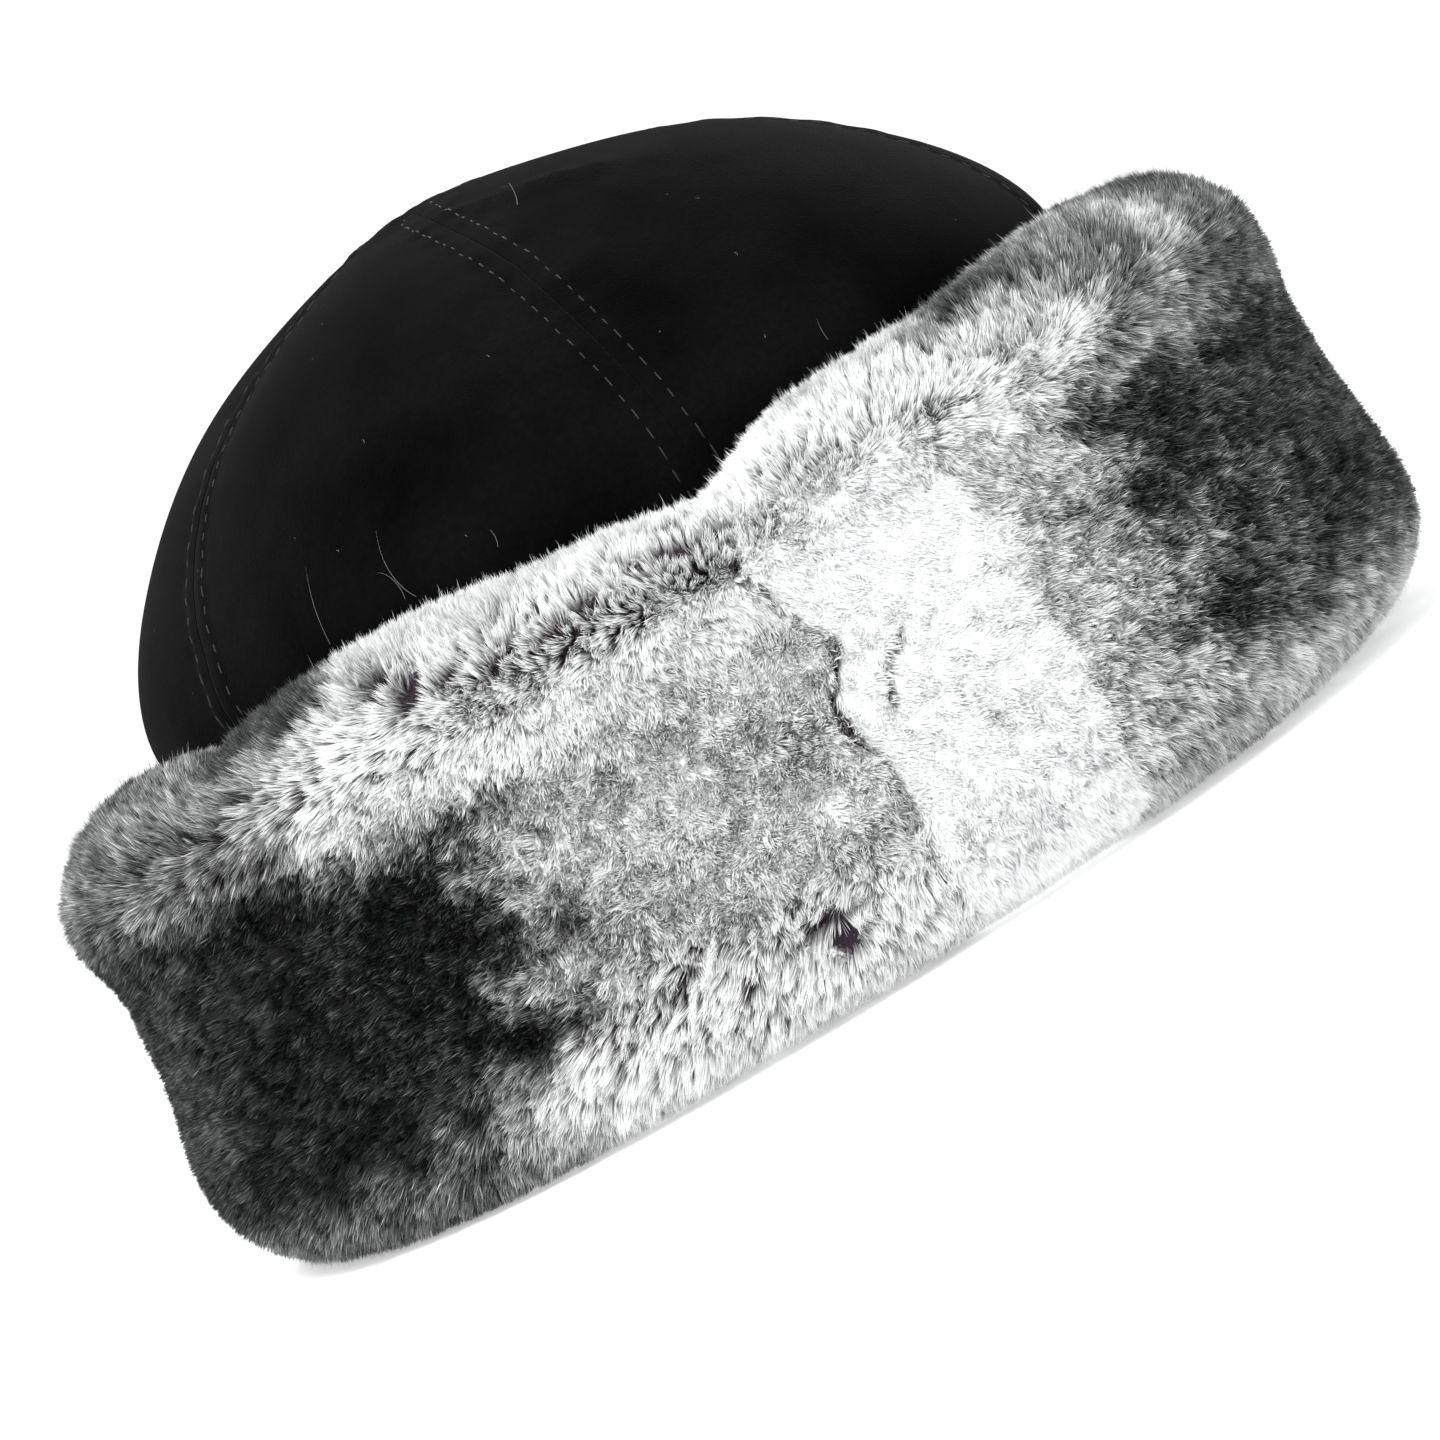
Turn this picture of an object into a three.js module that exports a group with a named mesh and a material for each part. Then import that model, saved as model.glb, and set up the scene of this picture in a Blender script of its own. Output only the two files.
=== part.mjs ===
// A fur toque: a domed crown of six suede gores, with a deep fur cuff of two pelts round its lower half.
// Millimetres, +Z up. The origin is on the floor under the middle of the hat.
// -Y is the back, where two pelts join over a crown seam, and +Y is the front. The head is longer along Y.
import * as THREE from "three";

// Crown. Half sizes are those of the outer face at the rim, the height where the crown leaves the cuff.
const RIM_HALF_WIDTH = 87.8;
const RIM_HALF_LENGTH = 106;
const RIM_Z = 87;
const CROWN_HEIGHT = 144.3;
const HEM_Z = 2.2;
const HEM_INSET = 4.5;
const CROWN_WALL = 1.8;
// The dome's side view is a superellipse, with one power outwards and one upwards. Under 2 it is more pointed
// than an ellipse. A shoulder all round stands out from it. Its middle and reach are shares of the dome's climb.
const DOME_POWER = { out: 1.58, up: 1.7 };
const SHOULDER = { rise: 0.56, reach: 0.17, out: 1.5 };
// How far the top of the dome lies to the left of the middle
const TOP_SHIFT = 3;
// How far the seams are drawn in from the middle of a gore
const SEAM_DEPTH = 2.2;
const GORE_COUNT = 6;
const GORE_COLUMNS = 6;
const SKIRT_STEPS = 2;
const DOME_STEPS = 9;
// Where the six points stop short of the middle of the top, as a share of the dome's climb
const TIP_RISE = 0.985;
const PIECE_GAP = 0.3;

// Soft hollows pressed into the crown. turn is in degrees from the back, rise is the share of the dome's climb.
const CROWN_DENTS = [
  { turn: 40, rise: 0.62, turnReach: 15, riseReach: 0.15, depth: 2.4 },
  { turn: -22, rise: 0.8, turnReach: 14, riseReach: 0.12, depth: 1 },
];

// Cuff. One row for each corner of its section, from the inside of the hem, under, out and up, and back down
// against the crown. out is measured from the crown's outer face. The fur is in tiers of locks, laid like roof
// tiles: down the band below the waist, and up and over the roll above it. lock is how far a lock stands above
// the furrow beside it, and tip how far it reaches past that furrow along the section, backwards when negative.
const CUFF_SECTION = [
  { out: 0.5, z: 2.5, lock: 0, tip: 0, tier: 0 },
  { out: 4, z: 0, lock: 0, tip: 0, tier: 0 },
  { out: 11, z: 0, lock: 0, tip: 0, tier: 0 },
  { out: 18, z: 0, lock: 0, tip: 0, tier: 0 },
  { out: 24.6, z: 3.6, lock: 1.8, tip: -1.6, tier: 1 },
  { out: 28.2, z: 9.5, lock: 2.4, tip: -1, tier: 1 },
  { out: 29.2, z: 16, lock: 1, tip: 0, tier: 1 },
  { out: 30.1, z: 19.5, lock: 1.2, tip: -4, tier: 2 },
  { out: 29.3, z: 26.5, lock: 2.6, tip: -2, tier: 2 },
  { out: 27.6, z: 34, lock: 1, tip: 0, tier: 2 },
  { out: 28.4, z: 37.5, lock: 1.6, tip: -4, tier: 3 },
  { out: 27.2, z: 45, lock: 2.6, tip: -2, tier: 3 },
  { out: 25.4, z: 53.5, lock: 1, tip: 0, tier: 3 },
  { out: 26.8, z: 60, lock: 1.6, tip: 0, tier: 4 },
  { out: 28, z: 67, lock: 2.6, tip: 2, tier: 4 },
  { out: 26.6, z: 74.5, lock: 1.8, tip: 4, tier: 4 },
  { out: 23.2, z: 79, lock: 1.2, tip: 0, tier: 5 },
  { out: 18, z: 84.4, lock: 2.6, tip: 2, tier: 5 },
  { out: 10.5, z: 87, lock: 2, tip: 3.6, tier: 5 },
  { out: 4.4, z: 84.4, lock: 1, tip: 0, tier: 6 },
  { out: 0.5, z: 76, lock: 0, tip: 0, tier: 6 },
  { out: 0.5, z: 38, lock: 0, tip: 0, tier: 6 },
];
// Each column is a lock in every other tier and a furrow in the tiers between. Locks differ in size by this share.
const LOCKS_PER_PELT = 47;
const LOCK_VARIETY = 0.35;
// Low places along the cuff's top edge, which fade out down to the waist
const CUFF_WAIST_Z = 52;
const RIM_DIPS = [
  { turn: -2, reach: 7, drop: 5.5 },
  { turn: 14, reach: 28, drop: 2.6 },
  { turn: -40, reach: 7, drop: 2.4 },
];

const SUEDE = new THREE.MeshStandardMaterial({ color: 0x131313, roughness: 0.95, metalness: 0 });
const FUR = new THREE.MeshStandardMaterial({ color: 0x8f8e8d, roughness: 0.9, metalness: 0 });

const { cos, sin, PI, abs, exp } = Math;
const radians = (degrees) => (degrees * PI) / 180;

// 1 in the middle of a place and fading to 0 past its reach
const near = (distance, reach) => exp(-((distance / reach) ** 2));

// Degrees between two directions, from -180 to 180
const turnBetween = (a, b) => ((((a - b + 180) % 360) + 360) % 360) - 180;

// The crown's height and half sizes at a rise: -1 is the hem, 0 is the rim and 1 is the top.
function crownLevel(rise) {
  if (rise <= 0) {
    const inset = HEM_INSET * rise * rise;
    return {
      z: RIM_Z + rise * (RIM_Z - HEM_Z),
      halfWidth: RIM_HALF_WIDTH - inset,
      halfLength: RIM_HALF_LENGTH - inset,
      shift: 0,
    };
  }
  const spread = cos(rise * PI * 0.5) ** (2 / DOME_POWER.out);
  const lift = sin(rise * PI * 0.5) ** (2 / DOME_POWER.up);
  return {
    z: RIM_Z + lift * (CROWN_HEIGHT - RIM_Z),
    halfWidth: RIM_HALF_WIDTH * spread,
    halfLength: RIM_HALF_LENGTH * spread,
    shift: TOP_SHIFT * lift * lift,
  };
}

// How far the crown's face stands out at a turn: the seams are drawn in, the shoulder swells and dents sink.
function crownSwell(turn, rise) {
  if (rise <= 0) return 0;
  const goreWidth = 360 / GORE_COUNT;
  const across = (((turn % goreWidth) + goreWidth) % goreWidth) / goreWidth;
  const drawnIn = SEAM_DEPTH * (1 - sin(PI * across)) * sin(PI * rise);
  const swell = SHOULDER.out * near(rise - SHOULDER.rise, SHOULDER.reach) - drawnIn;
  const sunk = CROWN_DENTS.map(
    (d) => d.depth * near(turnBetween(turn, d.turn), d.turnReach) * near(rise - d.rise, d.riseReach),
  );
  return swell - sunk.reduce((a, b) => a + b, 0);
}

// A point of the bare outline at a turn, which is 0 at the back and 90 at +X
function ringPoint(turn, { halfWidth, halfLength, shift, z }) {
  const t = radians(turn);
  return new THREE.Vector3(halfWidth * sin(t) - shift, -halfLength * cos(t), z);
}

// The level way out from an outline at a turn
function ringNormal(turn, { halfWidth, halfLength }) {
  const t = radians(turn);
  return new THREE.Vector3(halfLength * sin(t), -halfWidth * cos(t), 0).normalize();
}

// The way out of the crown's bare face, by the slopes round it and up it
function crownNormal(turn, rise) {
  const round = ringPoint(turn + 0.5, crownLevel(rise)).sub(ringPoint(turn - 0.5, crownLevel(rise)));
  const step = 0.01;
  const above = ringPoint(turn, crownLevel(Math.min(rise + step, 1)));
  const below = ringPoint(turn, crownLevel(rise - step));
  return round.cross(above.sub(below)).normalize();
}

function crownPoint(turn, rise, depth) {
  const point = ringPoint(turn, crownLevel(rise));
  return point.addScaledVector(crownNormal(turn, rise), crownSwell(turn, rise) - depth);
}

// Triangles that close a loop of points lying roughly in one plane
function capTriangles(loop) {
  const normal = new THREE.Vector3();
  loop.forEach((p, i) => normal.add(p.clone().cross(loop[(i + 1) % loop.length])));
  normal.normalize();
  const across = new THREE.Vector3(-normal.y, normal.x, 0);
  if (across.length() < 0.1) across.set(1, 0, 0);
  across.normalize();
  const up = normal.clone().cross(across);
  const flat = loop.map((p) => new THREE.Vector2(p.dot(across), p.dot(up)));
  return THREE.ShapeUtils.triangulateShape(flat, []);
}

// A closed solid through a row of loops that all have the same number of points
function loft(loops) {
  const size = loops[0].length;
  const index = [];
  for (let i = 0; i + 1 < loops.length; i += 1) {
    for (let j = 0; j < size; j += 1) {
      const a = i * size + j;
      const b = i * size + ((j + 1) % size);
      index.push(a, b, b + size, a, b + size, a + size);
    }
  }
  const last = (loops.length - 1) * size;
  for (const [a, b, c] of capTriangles(loops[0])) index.push(c, b, a);
  for (const [a, b, c] of capTriangles(loops.at(-1))) index.push(a + last, b + last, c + last);
  const geometry = new THREE.BufferGeometry().setFromPoints(loops.flat());
  geometry.setIndex(index);
  geometry.computeVertexNormals();
  return geometry;
}

// One gore of the crown, from the hem up to the middle of the top. Its sides stay half a gap off the seams.
function crownGore(seamTurn) {
  const rises = [];
  for (let i = 0; i < SKIRT_STEPS; i += 1) rises.push(i / SKIRT_STEPS - 1);
  for (let i = 0; i <= DOME_STEPS; i += 1) rises.push((TIP_RISE * i) / DOME_STEPS);
  const loops = rises.map((rise) => {
    const gapTurn = (PIECE_GAP * 0.5 * 180) / (PI * crownLevel(rise).halfWidth);
    const turns = [];
    for (let i = 0; i <= GORE_COLUMNS; i += 1) {
      turns.push(seamTurn + gapTurn + ((360 / GORE_COUNT - 2 * gapTurn) * i) / GORE_COLUMNS);
    }
    const outer = turns.map((turn) => crownPoint(turn, rise, 0));
    const inner = turns.map((turn) => crownPoint(turn, rise, CROWN_WALL));
    return [...outer, ...inner.reverse()];
  });
  return loft(loops);
}

// How much lower the cuff's top edge is at a turn, at a height
function rimDrop(turn, z) {
  const share = THREE.MathUtils.smoothstep(z, CUFF_WAIST_Z, RIM_Z);
  const drops = RIM_DIPS.map((d) => d.drop * near(turnBetween(turn, d.turn), d.reach));
  return share * drops.reduce((a, b) => a + b, 0);
}

// The ways along and out of the cuff's section at each row, from the rows on both sides of it
const SECTION_WAYS = CUFF_SECTION.map((row, i) => {
  const before = CUFF_SECTION.at(i - 1);
  const after = CUFF_SECTION[(i + 1) % CUFF_SECTION.length];
  const along = new THREE.Vector2(after.out - before.out, after.z - before.z).normalize();
  return { along, outward: new THREE.Vector2(along.y, -along.x) };
});

// The size of one lock beside the next, between 1 - LOCK_VARIETY and 1 + LOCK_VARIETY
function lockSize(column, tier) {
  const scattered = abs(sin(column * 12.9898 + tier * 78.233) * 43758.5453) % 1;
  return 1 + LOCK_VARIETY * (2 * scattered - 1);
}

// One loop round the cuff's section at a turn. Column numbers count from the joins, at the back and the front.
function cuffLoop(turn, column) {
  return CUFF_SECTION.map((row, i) => {
    const { along, outward } = SECTION_WAYS[i];
    const ridge = (column + row.tier) % 2 ? 0.5 : -0.5;
    const size = ridge * lockSize(column, row.tier);
    const out = row.out + outward.x * row.lock * size + along.x * row.tip * size;
    const z = Math.max(row.z + outward.y * row.lock * size + along.y * row.tip * size, 0);
    const wall = crownLevel((Math.min(row.z, RIM_Z) - RIM_Z) / (RIM_Z - HEM_Z));
    const point = ringPoint(turn, wall).addScaledVector(ringNormal(turn, wall), out);
    point.z = z - rimDrop(turn, z);
    return point;
  });
}

// Half of the cuff, on the +X side or the -X side, from the join at the back to the join at the front
function cuffPelt(side) {
  const columns = 2 * LOCKS_PER_PELT;
  const gapTurn = (PIECE_GAP * 0.5 * 180) / (PI * RIM_HALF_WIDTH);
  const loops = [];
  for (let i = 0; i <= columns; i += 1) {
    const turn = gapTurn + ((180 - 2 * gapTurn) * i) / columns;
    loops.push(cuffLoop(side * turn, Math.min(i, columns - i)));
  }
  return loft(side > 0 ? loops.reverse() : loops);
}

function piece(name, geometry, material) {
  const mesh = new THREE.Mesh(geometry, material);
  mesh.name = name;
  return mesh;
}

const toque = new THREE.Group();
for (let i = 0; i < GORE_COUNT; i += 1) {
  toque.add(piece(`crown_gore_${i + 1}`, crownGore((i * 360) / GORE_COUNT), SUEDE));
}
toque.add(piece("fur_pelt_right", cuffPelt(1), FUR));
toque.add(piece("fur_pelt_left", cuffPelt(-1), FUR));

export default toque;
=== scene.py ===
"""The looks of a fur toque: a black suede crown of six topstitched gores and a deep cuff of clipped fur.

Metres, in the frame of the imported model. -Y is the back, where the two pelts join, and +X is the right.
Turns are in degrees round the hat from the back, towards +X. Sizes in the tables are in millimetres.
"""

import math

import bpy
import numpy as np
from mathutils import Matrix, Vector


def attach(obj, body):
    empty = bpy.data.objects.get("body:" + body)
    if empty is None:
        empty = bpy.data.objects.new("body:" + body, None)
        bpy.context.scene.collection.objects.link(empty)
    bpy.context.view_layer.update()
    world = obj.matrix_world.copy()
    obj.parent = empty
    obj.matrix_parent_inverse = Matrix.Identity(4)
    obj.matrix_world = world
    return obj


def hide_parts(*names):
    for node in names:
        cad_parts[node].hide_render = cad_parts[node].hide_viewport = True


bl_info = {
    "name": "Fur toque",
    "version": (1, 0, 0),
    "blender": (4, 5, 0),
    "location": "3D View > Sidebar > Toque",
    "description": "Models a suede and fur hat piece by piece",
    "category": "Add Mesh",
}

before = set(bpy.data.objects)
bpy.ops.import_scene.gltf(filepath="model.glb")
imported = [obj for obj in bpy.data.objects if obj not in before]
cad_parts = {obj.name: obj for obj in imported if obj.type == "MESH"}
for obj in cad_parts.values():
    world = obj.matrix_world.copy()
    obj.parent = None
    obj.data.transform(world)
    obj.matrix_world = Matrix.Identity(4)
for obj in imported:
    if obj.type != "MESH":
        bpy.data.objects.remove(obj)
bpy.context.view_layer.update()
MM = 0.001
BAKE_MAP = "OFBake"


def table(columns, *rows):
    """The rows of a table as dictionaries, each value under the name of its column."""
    return [dict(zip(columns.split(), row)) for row in rows]


# The crown's dome. Its side view is a superellipse, with one power outwards and one upwards: under 2 it is more
# pointed than an ellipse. A shoulder all round stands out from it.
RIM_Z = 87.0
HEM_Z = 2.2
HEM_INSET = 4.5
DOME_OUT_POWER = 1.58
DOME_UP_POWER = 1.7
SHOULDER = {"rise": 0.56, "reach": 0.17, "out": 1.5}
TOP_SHIFT = -3.0
GORES = 6
GORE_TURN = 360 / GORES
# How many degrees each seam lies to the right of its even place, from the back seam on: at the rim, halfway up
# the dome and near its top
SEAM_DRIFT = [(0, -0.9, -5.5), (6, 13, 20), (3, 6, 8), (0, 1, 3), (-1, -6, -10), (-1, -12.8, -20)]
# The rises of those three places, with two between the first two that have these shares of the way to the second
DRIFT_RISES = [0, 0.15, 0.35, 0.5, 0.85]
DRIFT_SHARES = (0.14, 0.62)
# The face's length from the rim to the top, about, and the radius where the rows of stitches begin to close in
CLIMB_LENGTH = 72
CLOSING_RADIUS = 14

# Soft hollows and swells in the suede. depth is inwards, and a negative one swells.
CROWN_DENTS = table(
    "turn rise turn_reach rise_reach depth",
    (70, 0.46, 18, 0.24, -1.3),
    (-24, 0.86, 14, 0.08, 0.9),
    (-78, 0.6, 20, 0.18, 0.9),
    (150, 0.7, 18, 0.12, 1.2),
)

# A soft fold that slants down from the top: the turns and rises that it passes through, the turn in its middle
# and how far it spreads from there in degrees, and how wide and high it is
FOLD = {
    "turns": [-1, 8, 14, 23, 29, 38],
    "rises": [0.775, 0.712, 0.663, 0.612, 0.562, 0.444],
    "middle": 19,
    "spread": 16,
    "reach": 1.7,
    "height": 1.3,
}

# The seams' relief, in millimetres: how far the doubled suede stands out, the step between its two sides, the
# valley between them, how far the rows of stitches pull it in, between stitches and more at each, and the height
# and length of the puckers
SEAM = {"doubled": 0.5, "step": 0.06, "valley": 0.14, "pulled": 0.26, "stitched": 0.1, "pucker": 0.12, "wave": 8.5}

# The outline that the tips of the fur reach, from the hem outwards, up and over to the crown. out is measured
# from the crown's face, and pile is how deep the hair stands there.
FUR_OUTLINE = table(
    "out z pile",
    (3.0, 1.2, 1.0),
    (8.0, 0.4, 2.0),
    (14.0, 0.4, 4.0),
    (20.0, 1.6, 7.0),
    (25.6, 5.2, 9.0),
    (29.0, 11.5, 9.5),
    (30.2, 19.0, 9.5),
    (29.6, 28.0, 9.0),
    (28.2, 37.0, 8.5),
    (26.8, 46.0, 8.5),
    (25.8, 53.5, 8.0),
    (26.6, 59.0, 8.5),
    (28.2, 65.5, 9.5),
    (28.4, 72.5, 10.0),
    (25.8, 79.0, 10.0),
    (20.8, 84.4, 10.0),
    (14.2, 87.4, 10.0),
    (7.6, 87.6, 8.5),
    (2.6, 85.0, 5.0),
    (1.0, 80.0, 1.0),
)

# The fur is mapped flat for its tufts: millimetres round the hat at this radius, and along the outline.
MAP_RADIUS = 122.0

# Low places along the top edge of the cuff, and high ones where drop is negative. They fade out at the waist.
WAIST_Z = 52.0
RIM_DIPS = table(
    "turn reach drop",
    (-2, 7, 6.5),
    (-14, 8, 3.0),
    (8, 30, 2.8),
    (-56, 5, 3.2),
    (-34, 6, -0.8),
    (62, 5, 2.2),
    (80, 30, 2.0),
    (-84, 34, 1.2),
    (140, 12, 2.0),
    (-130, 10, 1.6),
)

# Broad swells of the cuff, and hollows where out is negative
CUFF_SWELLS = table(
    "turn reach z z_reach out",
    (-100, 34, 17, 17, 5.4),
    (-96, 26, 58, 22, 1.3),
    (94, 26, 40, 42, 1.9),
    (-100, 34, 84, 14, -2.4),
    (85, 30, 58, 10, 1.4),
    (-50, 24, 6, 8, 3.6),
    (58, 18, 2, 8, -1.2),
)

# Where the two pelts meet at the back: how far the join wanders from its straight line, in degrees, and how
# far it gapes
JOIN_WANDER = table(
    "z turn gape",
    (0, -0.8, 0.1),
    (14, -1.6, 0.2),
    (32, -1.0, 0.4),
    (37, -2.2, 0.8),
    (42, -1.9, 1.0),
    (48, -0.5, 0.9),
    (50.5, 0.6, 0.3),
    (55, -1.0, 0.2),
    (57, -1.6, 0.7),
    (66.5, -3.0, 1.0),
    (72, -2.5, 0.5),
    (90, -2.0, 0.2),
)

# The areas of the fur, each laid over the ones above it. turns and heights are an area's two edges, with turns
# counted from the pelts' join near it, and blur is how soft those edges are in degrees and millimetres. tone runs
# from black to white, mottle is how much the fur there varies, gaps is how much root shows between the tufts,
# and lay is how far the hair lies over.
FUR_AREAS = table(
    "name turns heights blur tone mottle gaps lay",
    ("grey_flank", (-180, 180), (-9, 99), (1, 1), 0.87, 0.13, 0.30, 0.45),
    ("light_hem", (-34, 5), (-9, 21), (4, 5), 0.92, 0.12, 0.62, 1.00),
    ("light_waist", (-34, 5), (58, 69), (5, 2), 0.96, 0.08, 0.30, 0.60),
    ("roll_back", (-44, 5), (66.5, 80), (5, 2.5), 0.99, 0.12, 0.76, 0.60),
    ("roll_left", (-118, -42), (60, 99), (6, 3), 0.585, 0.15, 0.62, 1.00),
    ("roll_left_end", (-118, -70), (60, 99), (6, 3), 0.46, 0.13, 0.45, 0.80),
    ("top_back", (-36, 5), (81, 99), (5, 2), 0.81, 0.06, 0.12, 0.30),
    ("left_shade", (-56, -38), (80, 99), (5, 2.5), 0.20, 0.10, 0.30, 0.80),
    ("hem_left", (-118, -40), (-9, 24), (8, 4), 0.385, 0.16, 0.30, 0.90),
    ("dark_left", (-118, -46), (13.5, 62.5), (5, 4), 0.16, 0.10, 0.30, 0.35),
    ("dark_left_edge", (-52, -31), (18, 58.5), (6.5, 6), 0.17, 0.14, 0.30, 0.35),
    ("left_side", (-118, -70), (13.5, 62), (5, 5), 0.23, 0.10, 0.30, 0.50),
    ("pale_flank", (15, 25), (-9, 64), (3, 3), 0.83, 0.12, 0.25, 0.50),
    ("flank_right", (24, 38), (-9, 62), (5, 4), 0.64, 0.20, 0.30, 0.50),
    ("dark_right", (30.5, 122), (11, 61), (4.5, 6), 0.42, 0.20, 0.30, 0.50),
    ("dark_patch_high", (28.5, 40), (42, 59), (5.5, 6), 0.23, 0.15, 0.30, 0.40),
    ("dark_patch_low", (28.5, 37), (18, 31), (5, 6), 0.27, 0.15, 0.30, 0.40),
    ("dark_patch_side", (44, 76), (17, 60), (6, 7), 0.27, 0.14, 0.30, 0.50),
    ("roll_right", (15, 36), (62, 99), (5, 4), 0.92, 0.11, 0.30, 0.70),
    ("roll_mid_right", (33, 54), (62, 99), (4, 4), 0.58, 0.14, 0.35, 0.80),
    ("roll_far_right", (52, 120), (60, 99), (6, 4), 0.42, 0.13, 0.40, 0.80),
    ("light_spot", (44, 51), (71, 82), (3, 3), 0.78, 0.10, 0.30, 0.60),
    ("right_shade", (19.5, 35), (81.5, 99), (3, 2.5), 0.36, 0.10, 0.30, 0.80),
    ("hem_right", (24, 60), (-9, 13), (6, 6), 0.76, 0.14, 0.35, 0.90),
    ("white_belly", (0, 16), (-9, 99), (0.7, 2), 0.99, 0.025, 0.0, 0.50),
    ("white_roll", (0, 20), (69, 82), (0.7, 3), 0.99, 0.11, 0.5, 0.80),
    ("top_right", (-2, 24), (83, 99), (2, 2), 0.77, 0.06, 0.12, 0.35),
    ("front_right", (122, 148), (-9, 99), (6, 9), 0.60, 0.14, 0.40, 0.60),
    ("front_left", (-150, -118), (-9, 99), (6, 9), 0.62, 0.14, 0.40, 0.60),
    ("front_light", (148, 172), (-9, 99), (5, 9), 0.80, 0.11, 0.40, 0.60),
    ("front_white", (-180, -162), (-9, 99), (3, 9), 0.97, 0.06, 0.10, 0.60),
)

# Places where the hair falls open and the dark roots show. angle is the way that the parting runs, in degrees
# from level, and half_length and reach are its size in millimetres.
PARTINGS = table(
    "turn z angle half_length reach strength",
    (-32.2, 80.4, -62, 3.2, 2.4, 1.0),
    (-29.2, 77.0, -40, 3.6, 3.0, 1.0),
    (-25.8, 75.6, 10, 3.0, 1.0, 0.8),
    (-21.5, 79.5, 50, 4.0, 1.4, 0.4),
    (-31.2, 67.5, 55, 2.4, 0.7, 0.8),
    (-22.2, 73.4, 60, 2.2, 0.9, 1.0),
    (-20.4, 75.8, 20, 2.6, 0.8, 1.0),
    (-17.5, 73.2, 25, 2.8, 0.6, 1.0),
    (-14.0, 74.6, 8, 4.0, 0.6, 1.0),
    (-9.6, 76.4, -35, 3.2, 1.0, 1.0),
    (-6.6, 74.4, -14, 3.6, 0.7, 1.0),
    (-2.9, 74.4, 25, 3.0, 0.8, 1.0),
    (-13.1, 67.0, 40, 1.6, 0.7, 0.7),
    (-10.3, 11.8, 85, 3.4, 2.2, 0.85),
    (-11, 15.5, 5, 8.0, 0.9, 0.75),
    (-22, 19, 35, 7.0, 1.0, 0.6),
    (-29, 12, 35, 8.0, 1.0, 0.5),
    (3.7, 45, 30, 4.0, 1.1, 0.34),
    (1.8, 40, 75, 4.0, 1.0, 0.3),
    (-55, 74, 35, 4.0, 0.9, 0.7),
    (-47, 76, -20, 4.0, 0.8, 0.7),
    (-41, 71, 20, 4.0, 0.8, 0.6),
    (60, 74, 70, 6.0, 2.0, 0.6),
    (-58, 70, 60, 6.0, 2.0, 0.6),
    (128, 70, 40, 8.0, 2.0, 0.8),
    (-140, 74, 20, 8.0, 2.0, 0.8),
)


def smooth(low, high, x):
    """0 below low, 1 above high and an even slope between them."""
    share = np.clip((x - low) / (high - low), 0, 1)
    return share * share * (3 - 2 * share)


def near(distance, reach):
    """1 in the middle of a place, fading to 0 past its reach."""
    return np.exp(-((distance / reach) ** 2))


def turn_between(a, b):
    """Degrees from direction b to direction a, from -180 to 180."""
    return (a - b + 180) % 360 - 180


def unit(vectors):
    """The vectors at length 1."""
    return vectors / np.maximum(np.linalg.norm(vectors, axis=-1, keepdims=True), 1e-9)


def scatter(cells, seed):
    """A random value from 0 to 1 for each row of whole numbers, the same every time."""
    mixed = np.zeros(len(cells), np.uint64) + np.uint64(seed * 7919 + 101)
    for column in cells.T:
        mixed = (mixed ^ column.astype(np.int64).astype(np.uint64)) * np.uint64(0x9E3779B97F4A7C15)
        mixed = mixed ^ (mixed >> np.uint64(29))
    return (mixed >> np.uint64(40)).astype(float) / 2**24


def blotches(points, size, seed):
    """Smooth random values from -1 to 1 at points, which change over about size."""
    scaled = np.asarray(points, float) / size + seed * 3.71
    cell = np.floor(scaled).astype(np.int64)
    share = scaled - cell
    share = share * share * (3 - 2 * share)
    total = np.zeros(len(scaled))
    for corner in np.ndindex(*(2,) * scaled.shape[1]):
        weight = np.prod(np.where(np.array(corner, bool), share, 1 - share), axis=1)
        total += weight * (2 * scatter(cell + np.array(corner), seed) - 1)
    return total


def dome(rise, settings):
    """The crown's height and half sizes at a rise: -1 is the hem, 0 is the rim and 1 is the top."""
    half_width, half_length = settings.half_width / MM, settings.half_length / MM
    climb = settings.height / MM - RIM_Z
    up = np.clip(rise, 0, 1) * math.pi / 2
    spread = np.maximum(np.cos(up), 0) ** (2 / DOME_OUT_POWER)
    lift = np.sin(up) ** (2 / DOME_UP_POWER)
    below = np.minimum(rise, 0)
    inset = HEM_INSET * below**2
    z = RIM_Z + lift * climb + below * (RIM_Z - HEM_Z)
    return z, half_width * spread - inset, half_length * spread - inset, TOP_SHIFT * lift**2


def dome_point(turn, rise, settings):
    """A point of the crown's bare face."""
    z, half_width, half_length, shift = dome(rise, settings)
    angle = np.radians(turn)
    return np.stack([half_width * np.sin(angle) + shift, -half_length * np.cos(angle), z], -1)


def dome_normal(turn, rise, settings):
    """The way out of the crown's bare face."""
    step = 0.004
    round_it = dome_point(turn + 0.5, rise, settings) - dome_point(turn - 0.5, rise, settings)
    high = dome_point(turn, np.minimum(rise + step, 0.998), settings)
    low = dome_point(turn, np.minimum(rise, 0.994) - step, settings)
    return unit(np.cross(round_it, high - low))


def crown_radius(rise, settings):
    """The crown's mean radius at a rise, in millimetres."""
    _, half_width, half_length, _ = dome(rise, settings)
    return (half_width + half_length) / 2


def seam_turn(index, rise):
    """The turn of a seam at a rise."""
    low, middle, high = SEAM_DRIFT[index % GORES]
    drifts = [low, *(low + share * (middle - low) for share in DRIFT_SHARES), middle, high]
    return index * GORE_TURN + np.interp(rise, DRIFT_RISES, drifts)


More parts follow.
